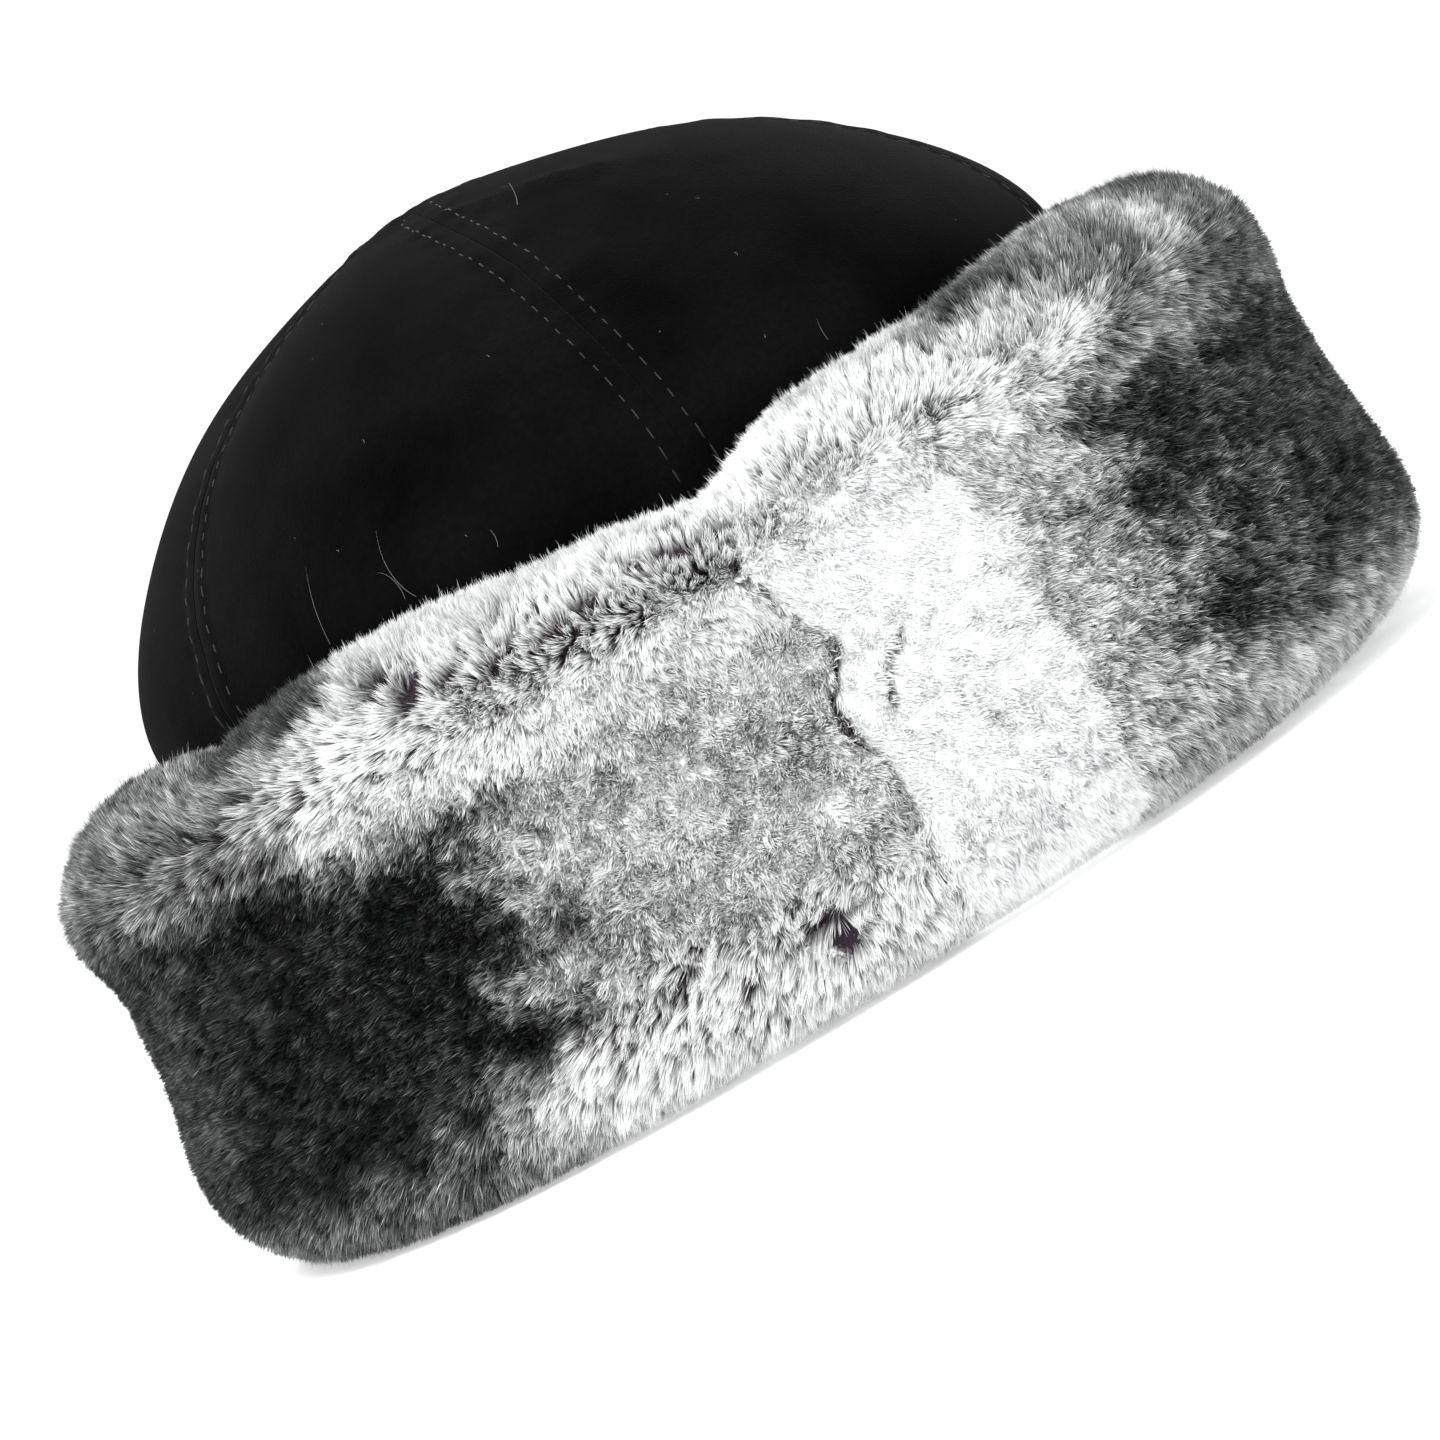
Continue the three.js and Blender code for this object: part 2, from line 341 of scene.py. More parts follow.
def half_gore(index, rise, settings):
    """Half the width of a gore at a rise, in millimetres along the face."""
    width = np.radians(seam_turn(index + 1, rise) - seam_turn(index, rise))
    return crown_radius(rise, settings) * width / 2


def stitch_row(rise, settings):
    """How far a row of stitches lies from its seam, in millimetres: closer near the top."""
    return settings.stitch_offset / MM * np.minimum(crown_radius(rise, settings) / CLOSING_RADIUS, 1)


def crown_relief(turn, rise, across, off_seam, along, settings):
    """How far the crown's face stands out: fullness between seams, the turned seam, its stitches, dents and fold."""
    drawn_in = (1 - np.sin(math.pi * across)) * np.sin(math.pi * np.clip(rise, 0, 1))
    stand = SHOULDER["out"] * near(rise - SHOULDER["rise"], SHOULDER["reach"])
    stand = stand - settings.fullness / MM * drawn_in
    for dent in CROWN_DENTS:
        place = near(turn_between(turn, dent["turn"]), dent["turn_reach"])
        stand = stand - dent["depth"] * place * near(rise - dent["rise"], dent["rise_reach"])
    from_back = turn_between(turn, 0)
    off_fold = (rise - np.interp(from_back, FOLD["turns"], FOLD["rises"])) * CLIMB_LENGTH
    stand = stand + FOLD["height"] * near(off_fold, FOLD["reach"]) * near(from_back - FOLD["middle"], FOLD["spread"])
    row = stitch_row(rise, settings)
    stitches = np.cos(2 * math.pi * along / (settings.stitch_pitch / MM))
    waves = np.sin(2 * math.pi * along / SEAM["wave"] + 2 * np.sin(along / 19))
    doubled = SEAM["doubled"] * (1 - smooth(row - 0.3, row + 1.3, off_seam))
    doubled = doubled + np.where(across > 0.5, SEAM["step"], 0) * (1 - smooth(0.5, 2.4, off_seam))
    valley = SEAM["valley"] * near(off_seam, 2.0)
    pulled = near(off_seam - row, 0.75) * (SEAM["pulled"] + SEAM["stitched"] * stitches)
    pucker = SEAM["pucker"] * near(off_seam - row, 3.2) * waves
    return stand + (doubled - valley - pulled + pucker) * smooth(-0.1, 0.02, rise)


def deselect():
    """Leaves nothing selected, the frame's nodes included."""
    if bpy.context.object and bpy.context.object.mode != "OBJECT":
        bpy.ops.object.mode_set(mode="OBJECT")
    bpy.ops.object.select_all(action="DESELECT")


def named(name):
    """The active object under its new name, mesh included."""
    piece = bpy.context.object
    piece.name = name
    piece.data.name = name
    return piece


def vertex_array(piece):
    """A piece's vertices as an array, in metres."""
    places = np.empty(len(piece.data.vertices) * 3)
    piece.data.vertices.foreach_get("co", places)
    return places.reshape(-1, 3)


def move_vertices(piece, places):
    """Puts a piece's vertices at places, given in millimetres."""
    piece.data.vertices.foreach_set("co", (np.asarray(places) * MM).ravel())
    piece.data.update()


def finish_piece(piece, material, slot, *nodes):
    """Gives a piece its material and makes it ride on the hat in place of CAD nodes. The slot is not used."""
    piece.data.materials.clear()
    piece.data.materials.append(material)
    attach(piece, "root")
    if nodes:
        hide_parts(*nodes)


def grid_piece(name, columns, rows):
    """A grid of columns by rows squares and the share across and up of each vertex."""
    deselect()
    bpy.ops.mesh.primitive_grid_add(x_subdivisions=columns, y_subdivisions=rows, size=1, location=(0, 0, 0))
    piece = named(name)
    shares = vertex_array(piece)[:, :2] + 0.5
    return piece, shares[:, 0], shares[:, 1]


def choose(piece):
    """Makes a piece the only one selected, and the active one."""
    deselect()
    piece.select_set(True)
    bpy.context.view_layer.objects.active = piece


def shade_smooth(piece):
    """Smooth shading over the whole piece."""
    choose(piece)
    bpy.ops.object.shade_smooth()


def mesh_piece(name, mesh):
    """A piece with a mesh of its own, in the scene."""
    piece = bpy.data.objects.new(name, mesh)
    bpy.context.scene.collection.objects.link(piece)
    return piece


def close_up(piece, merge, fill=False):
    """Merges a piece's vertices that lie closer than merge, fills its holes if told to, and turns its faces out."""
    choose(piece)
    bpy.ops.object.mode_set(mode="EDIT")
    bpy.ops.mesh.select_all(action="SELECT")
    bpy.ops.mesh.remove_doubles(threshold=merge * MM)
    if fill:
        bpy.ops.mesh.select_all(action="DESELECT")
        bpy.ops.mesh.select_non_manifold()
        bpy.ops.mesh.fill_holes(sides=0)
        bpy.ops.mesh.select_all(action="SELECT")
    bpy.ops.mesh.normals_make_consistent(inside=False)
    bpy.ops.object.mode_set(mode="OBJECT")


def outline_curve():
    """The fur's outline as a fine curve: length along it, out, z and pile, all smooth."""
    corners = np.array([[row["out"], row["z"], row["pile"]] for row in FUR_OUTLINE])
    padded = np.vstack([2 * corners[0] - corners[1], corners, 2 * corners[-1] - corners[-2]])
    parts = []
    t = np.linspace(0, 1, 16, endpoint=False)[:, None]
    for a, b, c, d in zip(padded, padded[1:], padded[2:], padded[3:]):
        curve = 2 * b + (c - a) * t + (2 * a - 5 * b + 4 * c - d) * t**2 + (3 * b - a - 3 * c + d) * t**3
        parts.append(0.5 * curve)
    fine = np.vstack([*parts, corners[-1:]])
    length = np.concatenate([[0], np.cumsum(np.linalg.norm(np.diff(fine[:, :2], axis=0), axis=1))])
    return length, fine


OUTLINE_LENGTH, OUTLINE = outline_curve()
FUR_LENGTH = OUTLINE_LENGTH[-1]
# How the hairs are shared out along the outline: few of them under the hem and against the crown
HAIR_SPREAD = np.cumsum(np.gradient(OUTLINE_LENGTH) * (0.25 + 0.75 * smooth(4, 8, OUTLINE[:, 2])))
HAIR_SPREAD = (HAIR_SPREAD - HAIR_SPREAD[0]) / (HAIR_SPREAD[-1] - HAIR_SPREAD[0])


def fur_point(turn, along, depth, settings):
    """A point of the fur, at a turn, a length along its outline and a share of the pile's depth under the tips."""
    out, z, pile = (np.interp(along, OUTLINE_LENGTH, OUTLINE[:, i]) for i in range(3))
    step = 1.5
    slope = [
        np.interp(along + step, OUTLINE_LENGTH, OUTLINE[:, i]) - np.interp(along - step, OUTLINE_LENGTH, OUTLINE[:, i])
        for i in (0, 1)
    ]
    size = np.hypot(*slope)
    out_way, up_way = slope[1] / size, -slope[0] / size
    angle = np.radians(turn)
    lump_place = np.stack([np.sin(angle) * 120, np.cos(angle) * 140, z], -1)
    lump = 1.1 * blotches(lump_place, 34, 5) + 0.45 * blotches(lump_place, 11, 6)
    lump = lump * smooth(2, 16, z) * smooth(2, 8, pile)
    for swell in CUFF_SWELLS:
        place = near(turn_between(turn, swell["turn"]), swell["reach"]) * near(z - swell["z"], swell["z_reach"])
        lump = lump + swell["out"] * place * smooth(2, 8, pile)
    sink = pile * depth - lump
    _, half_width, half_length, _ = dome((np.minimum(z, RIM_Z) - RIM_Z) / (RIM_Z - HEM_Z), settings.crown)
    level = unit(np.stack([half_length * np.sin(angle), -half_width * np.cos(angle)], -1))
    wall = np.stack([half_width * np.sin(angle), -half_length * np.cos(angle)], -1)
    flat = wall + level * (out - out_way * sink)[:, None]
    height = z - up_way * sink
    drop = sum(dip["drop"] * near(turn_between(turn, dip["turn"]), dip["reach"]) for dip in RIM_DIPS)
    height = height - drop * smooth(WAIST_Z, RIM_Z, z)
    return np.column_stack([flat, height])


def fur_axes(turn, along, settings):
    """The ways round the hat, up along the outline, and out of the fur."""
    round_it = unit(fur_point(turn + 0.4, along, 0, settings) - fur_point(turn - 0.4, along, 0, settings))
    up_it = unit(fur_point(turn, along + 0.8, 0, settings) - fur_point(turn, along - 0.8, 0, settings))
    return round_it, up_it, unit(np.cross(round_it, up_it))


def clear_of_crown(points, settings):
    """The points, with any inside the crown moved out to just off its face, and none under the floor."""
    crown = settings.crown
    climb = crown.height / MM - RIM_Z
    lift = np.clip((points[:, 2] - RIM_Z) / climb, 0, 0.97)
    spread = (1 - lift**DOME_UP_POWER) ** (1 / DOME_OUT_POWER)
    stand_off = 1.0
    half_width = crown.half_width / MM * spread + stand_off
    half_length = crown.half_length / MM * spread + stand_off
    share = np.hypot(points[:, 0] / half_width, points[:, 1] / half_length)
    moved = points.copy()
    moved[:, :2] /= np.minimum(share, 1)[:, None].clip(0.2)
    moved[:, 2] = np.maximum(moved[:, 2], 0.35)
    return moved


def join_wander(turn, z):
    """How many degrees the pelts' join wanders at a height. Far from the join it is 0."""
    join = np.interp(z, [row["z"] for row in JOIN_WANDER], [row["turn"] for row in JOIN_WANDER])
    return join * near(turn_between(turn, 0), 40)


def turn_off_join(turn, z):
    """The turn counted from the pelts' join. Far from the join it is the plain turn."""
    return turn_between(turn, 0) - join_wander(turn, z)


def join_crack(turn, points):
    """How open the join is at places on the fur, and their distance to the right of it in millimetres."""
    z = points[:, 2]
    ragged = 0.8 * blotches(points, 3.2, 71) + 0.5 * blotches(points, 1.4, 72)
    off_join = np.radians(turn_off_join(turn, z)) * MAP_RADIUS + ragged
    gape = np.interp(z, [row["z"] for row in JOIN_WANDER], [row["gape"] for row in JOIN_WANDER])
    broken = np.clip(0.75 + 0.7 * blotches(points, 2.2, 73), 0, 1)
    return gape * broken * near(off_join + 0.7, 0.65), off_join


def fur_look(turn, points):
    """The fur at places on its surface: tone, mottle, gaps and lay, as in the table of areas."""
    look = np.tile([0.6, 0.1, 0.3, 0.5], (len(turn), 1))
    from_join = turn_off_join(turn, points[:, 2])
    off_join = smooth(0, 4, np.abs(from_join))
    shake = blotches(points, 7, 11) + 0.6 * blotches(points, 2.6, 12) + 0.6 * blotches(points, 1.1, 19)
    shake = shake * off_join
    height_shake = blotches(points, 8, 13) + 0.6 * blotches(points, 3, 14)
    for area in FUR_AREAS:
        soft, soft_z = area["blur"]
        (low, high), (bottom, top) = area["turns"], area["heights"]
        place = np.abs(turn_between(from_join, (low + high) / 2) + shake * min(0.75 * soft, 4.5))
        height = points[:, 2] + height_shake * 0.5 * soft_z
        inside = 1 - smooth((high - low) / 2 - soft, (high - low) / 2 + soft, place)
        inside *= smooth(bottom - soft_z, bottom + soft_z, height) - smooth(top - soft_z, top + soft_z, height)
        values = np.array([area["tone"], area["mottle"], area["gaps"], area["lay"]])
        look += (values - look) * inside[:, None]
    tone, mottle, gaps, lay = look.T
    tone = tone + mottle * (0.55 * blotches(points, 9, 15) + 0.55 * blotches(points, 3.5, 16))
    gaps = gaps * (1 + 0.6 * blotches(points, 6, 17) + 0.4 * blotches(points, 2.5, 18))
    return tone, mottle, np.clip(gaps, 0, 1), lay


def tuft_centres(places, size, seed):
    """For each place on the flat map of the fur, the middle of its tuft and the tuft's own whole numbers."""
    cell = np.floor(places / size).astype(np.int64)
    best = np.full(len(places), np.inf)
    centre = np.zeros_like(places)
    owner = np.zeros_like(cell)
    for step in np.ndindex(3, 3):
        other = cell + np.array(step) - 1
        jitter = np.column_stack([scatter(other, seed), scatter(other, seed + 1)])
        middle = (other + 0.15 + 0.7 * jitter) * size
        distance = np.linalg.norm(middle - places, axis=1)
        closer = distance < best
        best[closer] = distance[closer]
        centre[closer] = middle[closer]
        owner[closer] = other[closer]
    return centre, owner


# Around this height the hair stands straight out: above it lies up and over the roll, and below it down the band
CREST = {"low": 65.0, "high": 79.0, "down": -0.62, "up": 0.8}
# Where the hair also leans round the hat, to the left where side is negative. starts and ends are the heights
# between which a lean comes in and goes out.
SIDE_LEANS = table(
    "turn reach side starts ends",
    (-10, 26, 0.38, (22, 30), (58, 66)),
    (-26, 20, -0.8, (-20, -10), (14, 26)),
)
ROLL_LEAN = {"turn": -39, "reach": 10, "z": 74, "z_reach": 9, "side": -0.9}
# How deep under the tips, as a share of the pile, a hair's visible part begins, and where the underfur lies
HAIR_DEPTH = 0.3
UNDERFUR_DEPTH = 0.2
DEEPER_IN_GAPS = 0.1
DEEPER_WHERE_OPEN = 0.35
# How much longer a tuft's footprint is along the lie of the hair than across it
TUFT_LENGTH = 1.6


def comb(turn, z, points):
    """The way the hair leans, round the hat and up the outline, as shares of the length that shows."""
    ragged = 2.4 * blotches(points, 13, 21) + 1.6 * blotches(points, 5, 22)
    crest = smooth(CREST["low"], CREST["high"], z + ragged)
    up = CREST["down"] + (CREST["up"] - CREST["down"]) * crest
    up = up * (0.8 + 0.3 * blotches(points, 15, 23))
    side = ROLL_LEAN["side"] * near(turn_between(turn, ROLL_LEAN["turn"]), ROLL_LEAN["reach"])
    side = side * near(z - ROLL_LEAN["z"], ROLL_LEAN["z_reach"])
    for lean in SIDE_LEANS:
        place = near(turn_between(turn, lean["turn"]), lean["reach"])
        side = side + lean["side"] * place * smooth(*lean["starts"], z) * (1 - smooth(*lean["ends"], z))
    side = side + 0.3 * blotches(points, 10, 24) + 0.25 * blotches(points, 3.5, 25) + 0.3 * blotches(points, 1.7, 26)
    return side, up + 0.25 * blotches(points, 1.9, 27)


def open_partings(turn, z):
    """How far each place's tips are laid aside by the partings, in millimetres, and how open the fur is there."""
    push = np.zeros((len(turn), 2))
    opened = np.zeros(len(turn))
    for row in PARTINGS:
        place = np.column_stack([np.radians(turn_between(turn, row["turn"])) * MAP_RADIUS, z - row["z"]])
        angle = math.radians(row["angle"])
        way = np.array([math.cos(angle), math.sin(angle)])
        across_way = np.array([-way[1], way[0]])
        along, across = place @ way, place @ across_way
        weight = row["strength"] * near(along, row["half_length"])
        laid = (1 + 0.8 * row["reach"]) * weight * near(across, 2.4 * row["reach"]) * np.clip(across / 0.5, -1, 1)
        push += laid[:, None] * across_way
        opened = np.maximum(opened, weight * near(across, row["reach"]))
    return push, opened


def underfur_depth(gaps, opened):
    """How deep the underfur lies, as a share of the pile."""
    return UNDERFUR_DEPTH + DEEPER_IN_GAPS * gaps + DEEPER_WHERE_OPEN * opened


def grow_hair(settings, turns, count, seed, guard=False):
    """The hairs of a stretch of fur, fewer in the partings, as arrays: roots and tips in millimetres, ways out of
    the fur, tones and widths."""
    rng = np.random.default_rng(seed)
    turn = rng.uniform(*turns, count)
    along = np.interp(rng.random(count), HAIR_SPREAD, OUTLINE_LENGTH)
    surface = fur_point(turn, along, 0, settings)
    z = surface[:, 2]
    pile = np.interp(along, OUTLINE_LENGTH, OUTLINE[:, 2])
    side, up = comb(turn, z, surface)
    map_place = np.column_stack([np.radians(turn) * MAP_RADIUS, along])
    tone, mottle, gaps, lay = fur_look(turn, surface)
    push, opened = open_partings(turn, z)
    crack, off_join = join_crack(turn, surface)
    open_share = np.maximum(opened, crack)
    gaps = np.maximum(gaps, np.sqrt(open_share))
    depth = HAIR_DEPTH * (0.75 + 0.45 * lay) * (1 - 0.3 * smooth(80, 85, z))
    depth = np.maximum(depth, underfur_depth(gaps, open_share) + 0.07)
    visible = depth * pile

    tuft_size = np.array([1, TUFT_LENGTH]) * settings.tuft_size / MM
    tuft, tuft_cell = tuft_centres(map_place, tuft_size, 31)
    wisp, wisp_cell = tuft_centres(map_place, 3.3 * tuft_size, 41)
    tuft_value = [2 * scatter(tuft_cell, 50 + i) - 1 for i in range(4)]
    wisp_value = [2 * scatter(wisp_cell, 60 + i) - 1 for i in range(3)]
    side = side * lay + (0.26 + 0.14 * lay) * tuft_value[0] + 0.2 * wisp_value[0]
    up = up * lay + (0.22 + 0.1 * lay) * tuft_value[1] + 0.16 * wisp_value[1]
    stand = 0.95 + (0.05 + 0.2 * gaps) * tuft_value[2] + 0.08 * wisp_value[2] + rng.normal(0, 0.13, count)
    shift = np.column_stack([side, up]) * (np.minimum(visible, 4) * (1 - 0.5 * open_share))[:, None]
    gather = (0.15 + 0.5 * gaps) * rng.uniform(0.7, 1.2, count)
    shift += (tuft - map_place) * gather[:, None] * np.array([1, 0.4])
    shift += (wisp - map_place) * (0.02 + 0.08 * gaps)[:, None]
    shift += rng.normal(0, 0.28, (count, 2))
    shift += push
    at_join = (np.abs(turn_between(turn, 0)) < 30) * near(off_join, 2.5)
    shift[:, 0] += at_join * (np.where(off_join > -0.7, 0.1, -0.35) + rng.normal(0, 0.35, count))
    stand *= 1 - 0.95 * crack - 0.75 * opened

    root = fur_point(turn, along, depth, settings)
    round_it, up_it, out_it = fur_axes(turn, along, settings)
    if guard:
        stand = stand + rng.uniform(0.1, 0.65, count) * (1 - open_share)
        shift = shift * 1.2
    tip = root + out_it * (visible * stand)[:, None] + round_it * shift[:, :1] + up_it * shift[:, 1:]

    tone = tone + mottle * (0.7 * tuft_value[3] + 0.4 * wisp_value[2])
    # Each hair's tone varies at random, and the hairs in the join's crack are darkened as painted shade in the crack
    tone = tone + rng.normal(0, 1, count) * (0.02 + 0.7 * mottle) - 0.3 * crack
    # A few hairs in the darker fur are made paler: partly grey hairs, and partly painted highlights where tips catch
    # the light
    frosted = rng.random(count) < 0.04 + 0.22 * smooth(0.15, 0.7, blotches(surface, 2.3, 28))
    tone = tone + rng.uniform(0.06, 0.24, count) * frosted * (1 - smooth(0.3, 0.7, tone))
    hair = {
        "root": clear_of_crown(root, settings),
        "tip": clear_of_crown(tip, settings),
        "out": out_it,
        "tone": np.clip(tone, 0.03, 0.985),
        "gaps": gaps,
        "top": 1 - 0.42 * opened,
        "width": settings.hair_width / MM * rng.uniform(0.7, 1.25, count) * (0.45 if guard else 1),
        "spin": rng.uniform(-0.8, 0.8, count),
    }
    kept = rng.random(count) > 0.92 * smooth(0.2, 0.8, opened)
    return {name: values[kept] for name, values in hair.items()}


def hair_mesh(name, hair):
    """One mesh of all the hairs, each a narrow triangle from its root to its tip that faces out of the fur."""
    way = unit(hair["tip"] - hair["root"])
    flat = unit(np.cross(way, hair["out"]) + 1e-6)
    spin = hair["spin"][:, None]
    half = (flat * np.cos(spin) + np.cross(way, flat) * np.sin(spin)) * hair["width"][:, None] / 2
    facing = np.sum(np.cross(half, way) * hair["out"], axis=1, keepdims=True)
    half = np.where(facing < 0, -half, half)
    corners = np.stack([hair["root"] - half, hair["root"] + half, hair["tip"]], 1)
    count = len(corners)
    low = 0.7 * (1 - hair["gaps"])
    tones = hair["tone"][:, None] + np.array([-0.0012, 0.0012, 0])
    heights = np.column_stack([low, low, hair["top"]])

    mesh = bpy.data.meshes.new(name)
    mesh.vertices.add(count * 3)
    mesh.vertices.foreach_set("co", (corners * MM).ravel())
    mesh.loops.add(count * 3)
    mesh.loops.foreach_set("vertex_index", np.arange(count * 3))
    mesh.polygons.add(count)
    mesh.polygons.foreach_set("loop_start", np.arange(count) * 3)
    mesh.update(calc_edges=True)
    mesh.uv_layers.new(name=BAKE_MAP)
    places = np.stack([tones, heights], 2)
    mesh.uv_layers[BAKE_MAP].data.foreach_set("uv", np.clip(places, 0.001, 0.999).ravel())
    return mesh_piece(name, mesh)


def new_material(name, rough, specular=0.5):
    """A material with an empty Principled surface, its nodes and its links."""
    material = bpy.data.materials.new(name)
    material.use_nodes = True
    nodes, links = material.node_tree.nodes, material.node_tree.links
    surface = nodes["Principled BSDF"]
    surface.inputs["Roughness"].default_value = rough
    surface.inputs["Specular IOR Level"].default_value = specular
    return material, nodes, links, surface


def add_node(nodes, kind, values=None, **options):
    """A shader node with some of its inputs' values and its own options set."""
    node = nodes.new(f"ShaderNode{kind}")
    for option, choice in options.items():
        setattr(node, option, choice)
    for label, value in (values or {}).items():
        node.inputs[label].default_value = value
    return node


def connect(links, *pairs):
    """Links each pair of sockets, from the first to the second."""
    for source, target in pairs:
        links.new(source, target)


def add_ramp(nodes, stops):
    """A colour ramp node with stops, each a position and a colour."""
    node = add_node(nodes, "ValToRGB")
    ramp = node.color_ramp
    for index, (position, colour) in enumerate(stops):
        stop = ramp.elements[index] if index < 2 else ramp.elements.new(position)
        stop.position = position
        stop.color = (*colour, 1)
    return node


def add_noise(nodes, links, places, scale, detail=2.0):
    """A noise texture on the given coordinates."""
    node = add_node(nodes, "TexNoise", {"Scale": scale, "Detail": detail})
    links.new(places, node.inputs["Vector"])
    return node


def fur_colour_group():
    """The fur's colour from a hair's tone and the height up it: dark at the root, its tone above, palest last."""
    if "Fur colour" in bpy.data.node_groups:
        return bpy.data.node_groups["Fur colour"]
    group = bpy.data.node_groups.new("Fur colour", "ShaderNodeTree")
    for label in ("Tone", "Height"):
        group.interface.new_socket(label, in_out="INPUT", socket_type="NodeSocketFloat")
    group.interface.new_socket("Color", in_out="OUTPUT", socket_type="NodeSocketColor")
    nodes = group.nodes
    given = nodes.new("NodeGroupInput")
    result = nodes.new("NodeGroupOutput")
    tip = add_ramp(nodes, TIP_COLOURS)
    root = add_ramp(nodes, ROOT_SHARES)
    mix = add_node(nodes, "Mix", data_type="RGBA")
    mix.inputs["B"].default_value = (*ROOT_COLOUR, 1)
    frosted = add_node(nodes, "Math", {1: TIP_FROST}, operation="MULTIPLY_ADD")
    level = add_node(nodes, "Math", {1: TRUE_TONE_HEIGHT * TIP_FROST}, operation="SUBTRACT")
    connect(
        group.links,
        (given.outputs["Height"], frosted.inputs[0]),
        (given.outputs["Tone"], frosted.inputs[2]),
        (frosted.outputs["Value"], level.inputs[0]),
        (level.outputs["Value"], tip.inputs["Fac"]),
        (given.outputs["Height"], root.inputs["Fac"]),
        (root.outputs["Color"], mix.inputs["Factor"]),
        (tip.outputs["Color"], mix.inputs["A"]),
        (mix.outputs["Result"], result.inputs["Color"]),
    )
    return group


# Colours of the hair's upper part by its tone, and how much of the root's colour shows by height up the hair
TIP_COLOURS = [
    (0.0, (0.0035, 0.0045, 0.0045)),
    (1.0, (0.97, 0.98, 0.98)),
    (0.15, (0.0115, 0.013, 0.0125)),
    (0.3, (0.052, 0.056, 0.055)),
    (0.5, (0.197, 0.203, 0.199)),
    (0.7, (0.495, 0.503, 0.497)),
    (0.85, (0.795, 0.805, 0.8)),
]
ROOT_SHARES = [
    (0.28, (1, 1, 1)),
    (0.74, (0, 0, 0)),
]
ROOT_COLOUR = (0.036, 0.024, 0.034)
# How much paler a hair gets from its root to its tip, and the height at which it has its own tone
TIP_FROST = 0.4
TRUE_TONE_HEIGHT = 0.92


def hair_material():
    """Clipped hair, coloured by its tone and the height along it, which its map holds."""
    material, nodes, links, surface = new_material("Hair", 0.55, 0.3)
    map_node = add_node(nodes, "UVMap", uv_map=BAKE_MAP)
    split = add_node(nodes, "SeparateXYZ")
    colour = add_node(nodes, "Group", node_tree=fur_colour_group())
    connect(
        links,
        (map_node.outputs["UV"], split.inputs["Vector"]),
        (split.outputs["X"], colour.inputs["Tone"]),
        (split.outputs["Y"], colour.inputs["Height"]),
        (colour.outputs["Color"], surface.inputs["Base Color"]),
    )
    return material


# The underfur's height on a hair where there are no gaps between the tufts, and where they are widest
UNDERFUR_HEIGHTS = (0.45, -0.4)


def underfur_material():
    """The dense underfur between the hairs: their tone, darkened as painted shade, with the dark colour of the roots,
    and broken up finely.
    """
    material, nodes, links, surface = new_material("Underfur", 0.9, 0.1)
    places = add_node(nodes, "TexCoord").outputs["Object"]
    tone = add_node(nodes, "Attribute", attribute_name="tone")
    gaps = add_node(nodes, "Attribute", attribute_name="gaps")
    fine = add_noise(nodes, links, places, 1700, 3)
    speckled = add_noise(nodes, links, places, 1100, 3)
    height = add_node(nodes, "MapRange", dict(zip(("To Min", "To Max"), UNDERFUR_HEIGHTS)))
    speck = add_node(nodes, "Math", operation="ADD")
    shade = add_node(nodes, "Math", {1: 0.5}, operation="MULTIPLY_ADD")
    colour = add_node(nodes, "Group", node_tree=fur_colour_group())
    bump = add_node(nodes, "Bump", {"Strength": 0.6, "Distance": 0.0006})
    connect(
        links,
        (gaps.outputs["Fac"], height.inputs["Value"]),
        (fine.outputs["Fac"], speck.inputs[0]),
        (height.outputs["Result"], speck.inputs[1]),
        (speck.outputs["Value"], colour.inputs["Height"]),
        (speckled.outputs["Fac"], shade.inputs[0]),
        (tone.outputs["Fac"], shade.inputs[2]),
        (shade.outputs["Value"], colour.inputs["Tone"]),
        (colour.outputs["Color"], surface.inputs["Base Color"]),
        (fine.outputs["Fac"], bump.inputs["Height"]),
        (bump.outputs["Normal"], surface.inputs["Normal"]),
    )
    return material


def add_shades(nodes, colour, dark, light):
    """A colour ramp between two shades of a colour. dark and light each hold a position and a strength."""
    return add_ramp(nodes, [(place, [strength * part for part in colour]) for place, strength in (dark, light)])


def suede_material(colour):
    """Suede: near black, with broad brushed patches, a short fine nap and a soft sheen."""
    material, nodes, links, surface = new_material("Suede", 0.95, 0.01)
    surface.inputs["Sheen Weight"].default_value = 0.035
    surface.inputs["Sheen Roughness"].default_value = 0.38
    surface.inputs["Sheen Tint"].default_value = (0.6, 0.6, 0.62, 1)
    places = add_node(nodes, "TexCoord").outputs["Object"]
    broad = add_noise(nodes, links, places, 36, 4)
    brushed = add_shades(nodes, colour, (0.36, 0.6), (0.66, 2.2))
    grain = add_noise(nodes, links, places, 900, 4)
    spread = add_node(nodes, "MapRange", {"To Min": 0.55, "To Max": 1.45})
    mix = add_node(nodes, "Mix", {"Factor": 1}, data_type="RGBA", blend_type="MULTIPLY")
    fibres = add_noise(nodes, links, places, 2600, 3)
    bump = add_node(nodes, "Bump", {"Strength": 0.5, "Distance": 0.0004})
    connect(
        links,
        (broad.outputs["Fac"], brushed.inputs["Fac"]),
        (grain.outputs["Fac"], spread.inputs["Value"]),
        (brushed.outputs["Color"], mix.inputs["A"]),
        (spread.outputs["Result"], mix.inputs["B"]),
        (mix.outputs["Result"], surface.inputs["Base Color"]),
        (fibres.outputs["Fac"], bump.inputs["Height"]),
        (bump.outputs["Normal"], surface.inputs["Normal"]),
    )
    return material


